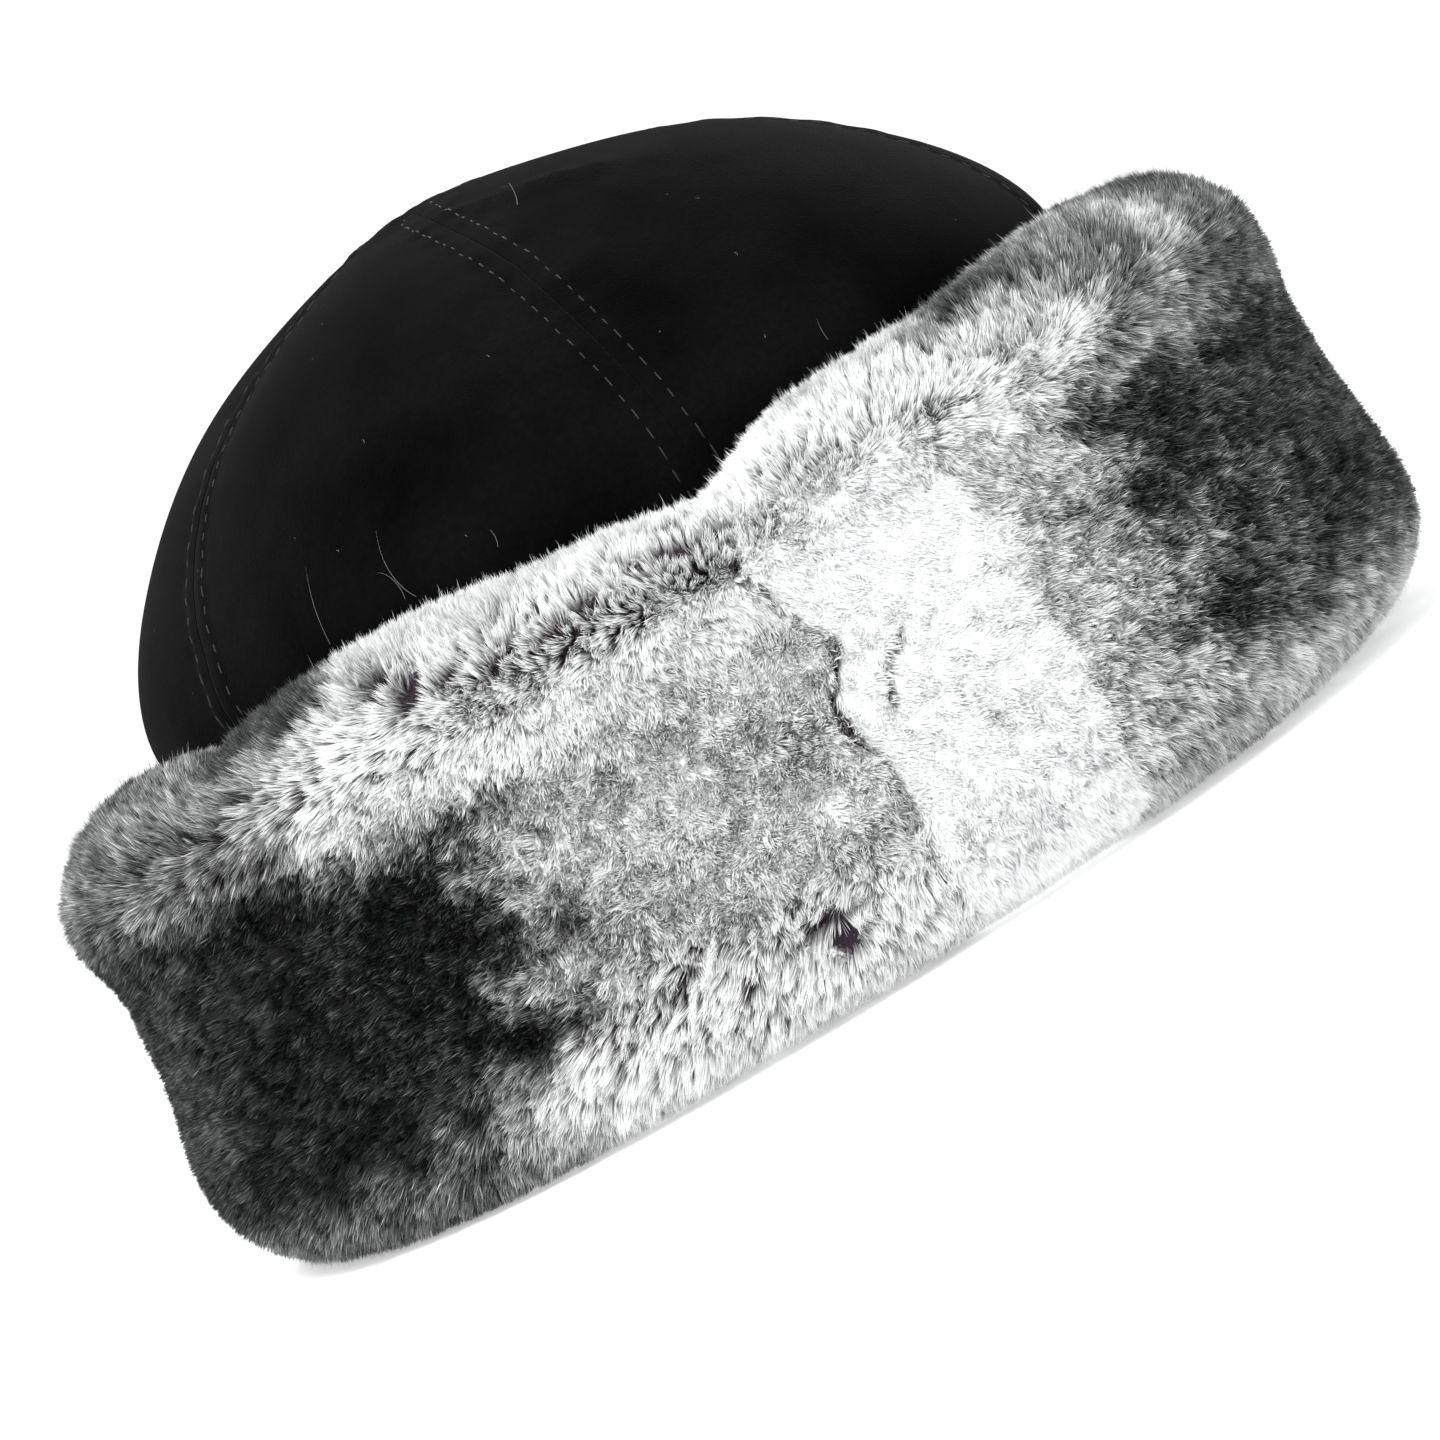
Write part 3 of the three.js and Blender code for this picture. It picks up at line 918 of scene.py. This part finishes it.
def thread_material(colour):
    """Sewing thread with a faint twist."""
    material, nodes, links, surface = new_material("Thread", 0.6, 0.4)
    places = add_node(nodes, "TexCoord").outputs["Object"]
    twist = add_noise(nodes, links, places, 3000)
    shades = add_shades(nodes, colour, (0.3, 0.6), (0.7, 1.3))
    links.new(twist.outputs["Fac"], shades.inputs["Fac"])
    links.new(shades.outputs["Color"], surface.inputs["Base Color"])
    return material


def length_setting(name, default, description):
    """A length, in metres."""
    return bpy.props.FloatProperty(name=name, description=description, default=default, unit="LENGTH")


def angle_setting(name, degrees, description):
    """An angle, with its default in degrees."""
    return bpy.props.FloatProperty(
        name=name, description=description, default=math.radians(degrees), subtype="ANGLE"
    )


def colour_setting(name, default, description):
    """A colour."""
    return bpy.props.FloatVectorProperty(
        name=name, description=description, default=default, size=3, subtype="COLOR"
    )


class ToqueCrownSettings(bpy.types.PropertyGroup):
    """Sizes and colours of the suede crown."""

    half_width: length_setting("Half width", 0.0878, "Half the crown's width at the rim, where it leaves the cuff")
    half_length: length_setting("Half length", 0.106, "Half the crown's length from back to front at the rim")
    height: length_setting("Height", 0.1438, "Height of the top of the crown")
    wall: length_setting("Wall", 0.0016, "Thickness of the suede with its backing")
    fullness: length_setting("Fullness", 0.0022, "How far the seams are drawn in from the middle of a gore")
    stitch_offset: length_setting("Stitch offset", 0.0036, "Distance of each row of topstitching from its seam")
    stitch_pitch: length_setting("Stitch pitch", 0.0039, "Distance from one stitch to the next")
    suede: colour_setting("Suede", (0.0017, 0.0017, 0.00165), "Colour of the suede")
    thread: colour_setting("Thread", (0.0068, 0.0071, 0.0074), "Colour of the topstitching")


class ToqueFurSettings(bpy.types.PropertyGroup):
    """Sizes of the fur cuff."""

    crown: bpy.props.PointerProperty(type=ToqueCrownSettings)
    tuft_size: length_setting("Tuft size", 0.0014, "Width of the tufts that the hair gathers in")
    hair_width: length_setting("Hair width", 0.0004, "Width of a hair at its root")
    guard_share: bpy.props.FloatProperty(
        name="Guard hairs",
        description="Longer, thinner hairs for each hair of the pile",
        default=0.024,
        subtype="FACTOR",
    )
    hairs: bpy.props.IntProperty(
        name="Hairs",
        description="Hairs of the pile in each pelt",
        default=402000,
    )


class ToqueStageSettings(bpy.types.PropertyGroup):
    """Where the camera stands, and the light."""

    azimuth: angle_setting("Azimuth", -7.6, "Direction of the camera from the back of the hat, towards its right")
    distance: length_setting("Distance", 1.0, "Distance of the camera from the middle of the hat")
    camera_height: length_setting("Camera height", 0.094, "Height of the camera over the floor")
    aim_height: length_setting("Aim height", 0.0425, "Height over the floor of the point at the middle of the picture")
    aim_side: length_setting("Aim side", -0.00306, "How far that point lies to the right of the hat's middle")
    roll: angle_setting("Roll", 31.5, "How far the camera is turned about its line of sight")
    lens: bpy.props.FloatProperty(
        name="Lens",
        description="Focal length of the camera in millimetres",
        default=147.1,
        unit="CAMERA",
    )
    surround: bpy.props.FloatProperty(
        name="Surround",
        description="Brightness of the white surroundings",
        default=1.1,
    )
    floor: colour_setting("Floor", (0.93, 0.935, 0.94), "Colour of the floor")


def seam_table(settings):
    """Rises from the hem to the top with the length along the face at each, from 0 at the rim."""
    rises = np.linspace(-1, 1, 801)
    z, half_width, half_length, _ = dome(rises, settings)
    radius = (half_width + half_length) / 2
    length = np.concatenate([[0], np.cumsum(np.hypot(np.diff(radius), np.diff(z)))])
    return rises, length - np.interp(0, rises, length)


# How far the columns of a gore's mesh lie from its seam, so that they follow the seam and its stitches
SEAM_COLUMNS = [0.01, 0.45, 0.95, 1.6, 2.4, 3.1, 3.6, 4.1, 4.8, 6.0, 8.2]
MIDDLE_COLUMNS = 12
SKIRT_ROWS = 8
DOME_ROWS = 72


def build_gore(index, material, settings):
    """One gore of the crown, laid over the dome and given its wall."""
    edge = len(SEAM_COLUMNS) - 1
    columns = 2 * edge + MIDDLE_COLUMNS
    rows = SKIRT_ROWS + DOME_ROWS
    piece, across, up = grid_piece(f"suede_gore_{index + 1}", columns, rows)
    rises, lengths = seam_table(settings)
    row = np.rint(up * rows)
    skirt = np.interp(row, [0, SKIRT_ROWS], [lengths[0], 0])
    climb = np.interp(row, [SKIRT_ROWS, rows], [0, lengths[-1]])
    along = np.where(row < SKIRT_ROWS, skirt, climb)
    rise = np.interp(along, lengths, rises)

    column = np.rint(across * columns)
    side = np.minimum(column, columns - column)
    half = half_gore(index, rise, settings)
    squeeze = np.minimum(half / 10, 1)
    near_seam = np.interp(side, range(edge + 1), SEAM_COLUMNS) * squeeze
    share = (side - edge) / (MIDDLE_COLUMNS / 2)
    off_seam = np.where(side <= edge, near_seam, near_seam + (half - near_seam) * np.clip(share, 0, 1))
    part = np.where(half > 1e-6, off_seam / np.maximum(2 * half, 1e-6), 0)
    part = np.where(column > columns / 2, 1 - part, part)
    left, right = seam_turn(index, rise), seam_turn(index + 1, rise)
    turn = left + part * (right - left)
    stand = crown_relief(turn, rise, part, off_seam, along, settings)
    places = dome_point(turn, rise, settings) + dome_normal(turn, rise, settings) * stand[:, None]
    move_vertices(piece, places)

    close_up(piece, 0.05)
    wall = piece.modifiers.new("Wall", "SOLIDIFY")
    wall.thickness = settings.wall
    wall.offset = -1
    choose(piece)
    bpy.ops.object.modifier_apply(modifier=wall.name)
    shade_smooth(piece)
    finish_piece(piece, material, "suede", f"crown_gore_{index + 1}")


STITCH_LENGTH = 3.2
STITCH_THICKNESS = 0.32
# How far a stitch's ends go down, how its length and place vary, and the crown's radius where the rows end
STITCH_DIP = 0.34
STITCH_LENGTHS = (0.7, 1.1)
STITCH_STRAY = 0.09
LAST_STITCH_RADIUS = 7


def stitch_shape():
    """The points and faces of one stitch along X, rounded, with its ends going down into the suede."""
    deselect()
    bpy.ops.mesh.primitive_uv_sphere_add(segments=6, ring_count=5, radius=0.5, rotation=(0, math.pi / 2, 0))
    bpy.ops.object.transform_apply(location=False, rotation=True, scale=False)
    piece = bpy.context.object
    points = vertex_array(piece)
    points = np.column_stack([np.sign(points[:, 0]) * np.abs(2 * points[:, 0]) ** 0.6 / 2, points[:, 1:]])
    points *= np.array([STITCH_LENGTH, STITCH_THICKNESS, STITCH_THICKNESS])
    points[:, 2] -= STITCH_DIP * (2 * points[:, 0] / STITCH_LENGTH) ** 4
    mesh = piece.data
    faces = [tuple(face.vertices) for face in mesh.polygons]
    bpy.data.objects.remove(piece)
    bpy.data.meshes.remove(mesh)
    return points, faces


def build_stitches(index, shape, material, settings):
    """The two rows of topstitching along one seam, as one piece."""
    points, faces = shape
    rises, lengths = seam_table(settings)
    pitch = settings.stitch_pitch / MM
    rng = np.random.default_rng(400 + index)
    vertices, polygons = [], []
    for side in (-1, 1):
        along = np.arange(-3, 40) * pitch
        rise = np.interp(along, lengths, rises)
        kept = (crown_radius(rise, settings) > LAST_STITCH_RADIUS) & (along < lengths[-1])
        along, rise = along[kept], rise[kept]
        off_seam = stitch_row(rise, settings) + rng.normal(0, STITCH_STRAY, len(along))

        def face_point(length):
            level = np.interp(length, lengths, rises)
            share = off_seam / (2 * half_gore(index if side > 0 else index - 1, level, settings))
            turn = seam_turn(index, level) + side * np.degrees(off_seam / crown_radius(level, settings))
            stand = crown_relief(turn, level, share if side > 0 else 1 - share, off_seam, length, settings)
            normal = dome_normal(turn, level, settings)
            return dome_point(turn, level, settings) + normal * stand[:, None], normal

        centre, normal = face_point(along)
        ahead, _ = face_point(along + 0.8)
        behind, _ = face_point(along - 0.8)
        way = unit(ahead - behind)
        across = unit(np.cross(normal, way))
        out = np.cross(way, across)
        size = rng.uniform(*STITCH_LENGTHS, len(along))
        placed = (
            centre[:, None]
            + way[:, None] * (points[:, 0] * size[:, None])[..., None]
            + across[:, None] * points[None, :, 1:2]
            + out[:, None] * (points[None, :, 2:] + rng.uniform(0.0, 0.12, (len(along), 1, 1)))
        )
        for one in placed:
            start = len(vertices)
            vertices.extend(one * MM)
            polygons.extend(tuple(start + corner for corner in face) for face in faces)
    mesh = bpy.data.meshes.new(f"topstitching_{index + 1}")
    mesh.from_pydata([tuple(v) for v in vertices], [], polygons)
    piece = mesh_piece(mesh.name, mesh)
    shade_smooth(piece)
    finish_piece(piece, material, "suede")


UNDERFUR_COLUMNS = 220
UNDERFUR_ROWS = 76
# The share of those rows that follow the fur's outline. The rest close it along the crown, this deep in the pile,
# where the join has wandered as far as it does at this height.
UNDERFUR_OUTER_SHARE = 0.8
UNDERFUR_BACK_DEPTH = 0.4
UNDERFUR_BACK_Z = 40
# How much darker the underfur's tone is than the hair's: painted shade between the hairs
UNDERFUR_PAINTED_SHADE = 0.28


def build_underfur(side, name, material, settings):
    """The dense underfur of one pelt: a closed half ring a little under the tips."""
    piece, across, up = grid_piece(f"underfur_{name}", UNDERFUR_COLUMNS, UNDERFUR_ROWS)
    in_back = up > UNDERFUR_OUTER_SHARE
    along = np.clip(up / UNDERFUR_OUTER_SHARE, 0, 1) * FUR_LENGTH
    plain_turn = side * (0.02 + 179.93 * (0.4 * across + 0.6 * across**2))
    level = np.interp(along, OUTLINE_LENGTH, OUTLINE[:, 1])
    turn = plain_turn + join_wander(plain_turn, np.where(in_back, UNDERFUR_BACK_Z, level))
    surface = fur_point(turn, along, 0, settings)
    tone, _, gaps, _ = fur_look(turn, surface)
    crack, _ = join_crack(turn, surface)
    _, opened = open_partings(turn, surface[:, 2])
    gaps = np.maximum.reduce([gaps, smooth(0.02, 0.35, opened), np.sqrt(crack)])
    opened = np.maximum(crack, opened)
    points = fur_point(turn, along, underfur_depth(gaps, opened), settings)
    _, _, out_it = fur_axes(turn, along, settings)
    pile = np.interp(along, OUTLINE_LENGTH, OUTLINE[:, 2])
    matted = 0.4 * blotches(points, 3, 81)
    points = points + out_it * (matted * smooth(2, 7, pile))[:, None]

    back = np.clip((up - UNDERFUR_OUTER_SHARE) / (1 - UNDERFUR_OUTER_SHARE), 0, 1)
    first = fur_point(turn, np.zeros(len(up)), UNDERFUR_BACK_DEPTH, settings)
    last = fur_point(turn, np.full(len(up), FUR_LENGTH), UNDERFUR_BACK_DEPTH, settings)
    points = np.where(in_back[:, None], last + (first - last) * back[:, None], points)
    points[:, 2] = np.maximum(points[:, 2], 0.5)
    rounds = points.reshape(UNDERFUR_ROWS + 1, UNDERFUR_COLUMNS + 1, 3)
    rounds[-1] = rounds[0]
    move_vertices(piece, clear_of_crown(points, settings))

    # The underfur's tone is the hair's tone darkened by painted shade
    for label, values in (("tone", np.clip(tone - UNDERFUR_PAINTED_SHADE, -0.2, 1)), ("gaps", gaps)):
        attribute = piece.data.attributes.new(label, "FLOAT", "POINT")
        attribute.data.foreach_set("value", values)

    close_up(piece, 0.02, fill=True)
    shade_smooth(piece)
    finish_piece(piece, material, "fur", f"fur_pelt_{name}")


# A few pale hairs that have come off on the crown: turn and rise where each starts, its way in degrees and length
STRAY_HAIRS = table(
    "turn rise way length curl",
    (-42.5, 0.03, 84, 12, 6),
    (-31.0, 0.02, 118, 12, -20),
    (-32.2, 0.03, 75, 7, 45),
    (10.5, 0.62, 35, 8, 18),
    (19.0, 0.03, 100, 4, -25),
    (-21.0, 0.02, 60, 3.5, 30),
    (110.0, 0.1, 100, 9, -30),
    (190.0, 0.08, 70, 9, 30),
)
# Tiny flecks of lint all over the crown: how many, and the least and most turn, rise, way and length of each
FLECKS = 70
FLECK_RANGE = ((-180, 0.03, 0, 0.25), (180, 0.75, 180, 0.8))
STRAY_WIDTH = 0.06
STRAY_STEPS = 9
# A distance from any seam at which there is no stitching
OFF_SEAMS = 20.0


def build_stray_hairs(material, settings):
    """Loose pale hairs and flecks of lint that lie on the suede."""
    vertices, polygons = [], []
    rng = np.random.default_rng(77)
    flecks = [
        {"turn": turn, "rise": rise, "way": way, "length": length, "curl": 60}
        for turn, rise, way, length in rng.uniform(*FLECK_RANGE, (FLECKS, 4))
    ]
    for hair in STRAY_HAIRS + flecks:
        turn, rise, angle = np.array([hair["turn"]]), np.array([hair["rise"]]), math.radians(hair["way"])
        step = hair["length"] / STRAY_STEPS
        line = []
        for _ in range(STRAY_STEPS + 1):
            normal = dome_normal(turn, rise, settings)[0]
            point = dome_point(turn, rise, settings)[0]
            stand = crown_relief(turn, rise, turn % GORE_TURN / GORE_TURN, OFF_SEAMS, 0.0, settings)[0]
            lift = stand + 0.25 + 0.05 * hair["length"] * math.sin(math.pi * len(line) / STRAY_STEPS)
            line.append((point + normal * lift, normal))
            radius = max(crown_radius(rise, settings)[0], 5)
            turn = turn + math.degrees(math.cos(angle) * step / radius)
            rise = rise + math.sin(angle) * step / CLIMB_LENGTH
            angle += math.radians(hair["curl"]) / STRAY_STEPS * 2
        for index, (point, normal) in enumerate(line):
            ahead = line[min(index + 1, STRAY_STEPS)][0] - line[max(index - 1, 0)][0]
            taper = 1 - 0.8 * (index / STRAY_STEPS) ** 2
            half = np.cross(normal, unit(ahead)) * STRAY_WIDTH / 2 * taper
            vertices.extend([(point - half) * MM, (point + half) * MM])
            if index:
                last = len(vertices)
                polygons.append((last - 4, last - 2, last - 1, last - 3))
    mesh = bpy.data.meshes.new("stray_hairs")
    mesh.from_pydata([tuple(v) for v in vertices], [], polygons)
    mesh.uv_layers.new(name=BAKE_MAP)
    places = np.tile([0.5, 0.9, 0.5015, 0.9, 0.5015, 0.95, 0.5, 0.95], len(polygons))
    mesh.uv_layers[BAKE_MAP].data.foreach_set("uv", places)
    finish_piece(mesh_piece("stray_hairs", mesh), material, "fur")


class TOQUE_OT_crown(bpy.types.Operator):
    """Makes the six suede gores of the crown"""

    bl_idname = "toque.crown"
    bl_label = "Crown"

    def execute(self, context):
        settings = context.scene.toque_crown
        material = suede_material(settings.suede)
        for index in range(GORES):
            build_gore(index, material, settings)
        return {"FINISHED"}


class TOQUE_OT_topstitching(bpy.types.Operator):
    """Sews a double row of stitches along each seam of the crown"""

    bl_idname = "toque.topstitching"
    bl_label = "Topstitching"

    def execute(self, context):
        settings = context.scene.toque_crown
        material = thread_material(settings.thread)
        shape = stitch_shape()
        for index in range(GORES):
            build_stitches(index, shape, material, settings)
        return {"FINISHED"}


class TOQUE_OT_underfur(bpy.types.Operator):
    """Makes the dense underfur of both pelts"""

    bl_idname = "toque.underfur"
    bl_label = "Underfur"

    def execute(self, context):
        settings = context.scene.toque_fur
        material = underfur_material()
        build_underfur(1, "right", material, settings)
        build_underfur(-1, "left", material, settings)
        return {"FINISHED"}


# The stretches of each pelt that its hair is made in: the two ends in degrees from the back join, the share of
# the pelt's hair that it gets, and how wide a hair is there. The front, which is seen less, has fewer and wider.
FUR_STRETCHES = table(
    "turns share width",
    ((0, 32), 0.28, 1),
    ((32, 64), 0.26, 1),
    ((64, 96), 0.18, 1.1),
    ((96, 124), 0.09, 1.4),
    ((124, 152), 0.09, 1.4),
    ((152, 180), 0.1, 1.4),
)


class TOQUE_OT_fur(bpy.types.Operator):
    """Grows the hair of both pelts and lays stray hairs on the crown"""

    bl_idname = "toque.fur"
    bl_label = "Fur"

    def execute(self, context):
        settings = context.scene.toque_fur
        material = hair_material()
        for side, name in ((1, "right"), (-1, "left")):
            for index, stretch in enumerate(FUR_STRETCHES):
                turns = sorted(side * turn for turn in stretch["turns"])
                count = round(settings.hairs * stretch["share"])
                seed = 900 + 10 * index + side
                pile = grow_hair(settings, turns, count, seed)
                guard = grow_hair(settings, turns, round(count * settings.guard_share), seed + 500, guard=True)
                for label, hair in (("fur", pile), ("guard_hair", guard)):
                    hair["width"] *= stretch["width"]
                    piece = hair_mesh(f"{label}_{name}_{index + 1}", hair)
                    finish_piece(piece, material, "fur", f"fur_pelt_{name}")
        build_stray_hairs(material, context.scene.toque_crown)
        return {"FINISHED"}


class TOQUE_OT_stage(bpy.types.Operator):
    """Sets the floor, the light and the camera"""

    bl_idname = "toque.stage"
    bl_label = "Stage"

    def execute(self, context):
        build_stage(context.scene, context.scene.toque_stage)
        return {"FINISHED"}


# The soft lights: where each stands, in metres, how wide it is and its power
SOFT_LIGHTS = table(
    "name place width watts",
    ("key", (-0.7, -1.5, 1.7), 0.9, 40),
    ("fill", (1.5, -1.3, 0.9), 1.4, 2),
    ("back", (0.3, 1.6, 1.6), 1.2, 12),
)


def build_stage(scene, settings):
    """The pale floor, the white surroundings, the soft lights and the camera."""
    deselect()
    bpy.ops.mesh.primitive_plane_add(size=12, location=(0, 0, 0))
    floor = named("floor")
    material, _, _, surface = new_material("Floor", 0.9, 0.2)
    surface.inputs["Base Color"].default_value = (*settings.floor, 1)
    surface.inputs["Emission Color"].default_value = (1, 1, 1, 1)
    surface.inputs["Emission Strength"].default_value = 0.45
    floor.data.materials.append(material)

    world = bpy.data.worlds.new("Surround")
    world.use_nodes = True
    background = world.node_tree.nodes["Background"]
    background.inputs["Color"].default_value = (1, 1, 1, 1)
    background.inputs["Strength"].default_value = settings.surround
    scene.world = world

    for row in SOFT_LIGHTS:
        bpy.ops.object.light_add(type="AREA", location=row["place"])
        light = bpy.context.object
        light.name = f"{row['name']}_light"
        light.data.shape = "SQUARE"
        light.data.size = row["width"]
        light.data.energy = row["watts"]
        aim = Vector((0, 0, 0.07)) - Vector(row["place"])
        light.rotation_euler = aim.to_track_quat("-Z", "Y").to_euler()

    right = Vector((math.cos(settings.azimuth), math.sin(settings.azimuth), 0))
    back = Vector((math.sin(settings.azimuth), -math.cos(settings.azimuth), 0))
    place = back * settings.distance + Vector((0, 0, settings.camera_height)) + right * settings.aim_side
    aim_point = Vector((0, 0, settings.aim_height)) + right * settings.aim_side
    bpy.ops.object.camera_add(location=place)
    camera = bpy.context.object
    camera.name = "camera"
    look = (aim_point - place).normalized()
    level = look.cross(Vector((0, 0, 1))).normalized()
    upright = level.cross(look)
    across = level * math.cos(settings.roll) - upright * math.sin(settings.roll)
    above = upright * math.cos(settings.roll) + level * math.sin(settings.roll)
    camera.rotation_euler = Matrix((across, above, -look)).transposed().to_euler()
    camera.data.lens = settings.lens
    camera.data.sensor_width = 36
    camera.data.clip_start = 0.05
    scene.camera = camera
    scene.view_settings.view_transform = "Standard"


class TOQUE_PT_panel(bpy.types.Panel):
    """Lists the steps that make the hat"""

    bl_idname = "TOQUE_PT_panel"
    bl_label = "Fur toque"
    bl_space_type = "VIEW_3D"
    bl_region_type = "UI"
    bl_category = "Toque"

    def draw(self, context):
        for step in STEPS:
            self.layout.operator(step.bl_idname)


STEPS = (TOQUE_OT_crown, TOQUE_OT_topstitching, TOQUE_OT_underfur, TOQUE_OT_fur, TOQUE_OT_stage)
CLASSES = (ToqueCrownSettings, ToqueFurSettings, ToqueStageSettings, *STEPS, TOQUE_PT_panel)


def register():
    """Adds the classes and their settings to Blender."""
    for item in CLASSES:
        bpy.utils.register_class(item)
    bpy.types.Scene.toque_crown = bpy.props.PointerProperty(type=ToqueCrownSettings)
    bpy.types.Scene.toque_fur = bpy.props.PointerProperty(type=ToqueFurSettings)
    bpy.types.Scene.toque_stage = bpy.props.PointerProperty(type=ToqueStageSettings)


def unregister():
    """Takes the classes and their settings out of Blender."""
    del bpy.types.Scene.toque_crown, bpy.types.Scene.toque_fur, bpy.types.Scene.toque_stage
    for item in reversed(CLASSES):
        bpy.utils.unregister_class(item)


def main():
    """Makes the hat and its stage."""
    register()
    bpy.ops.toque.stage()
    bpy.ops.toque.crown()
    bpy.ops.toque.topstitching()
    bpy.ops.toque.underfur()
    bpy.ops.toque.fur()


if __name__ == "__main__":
    main()
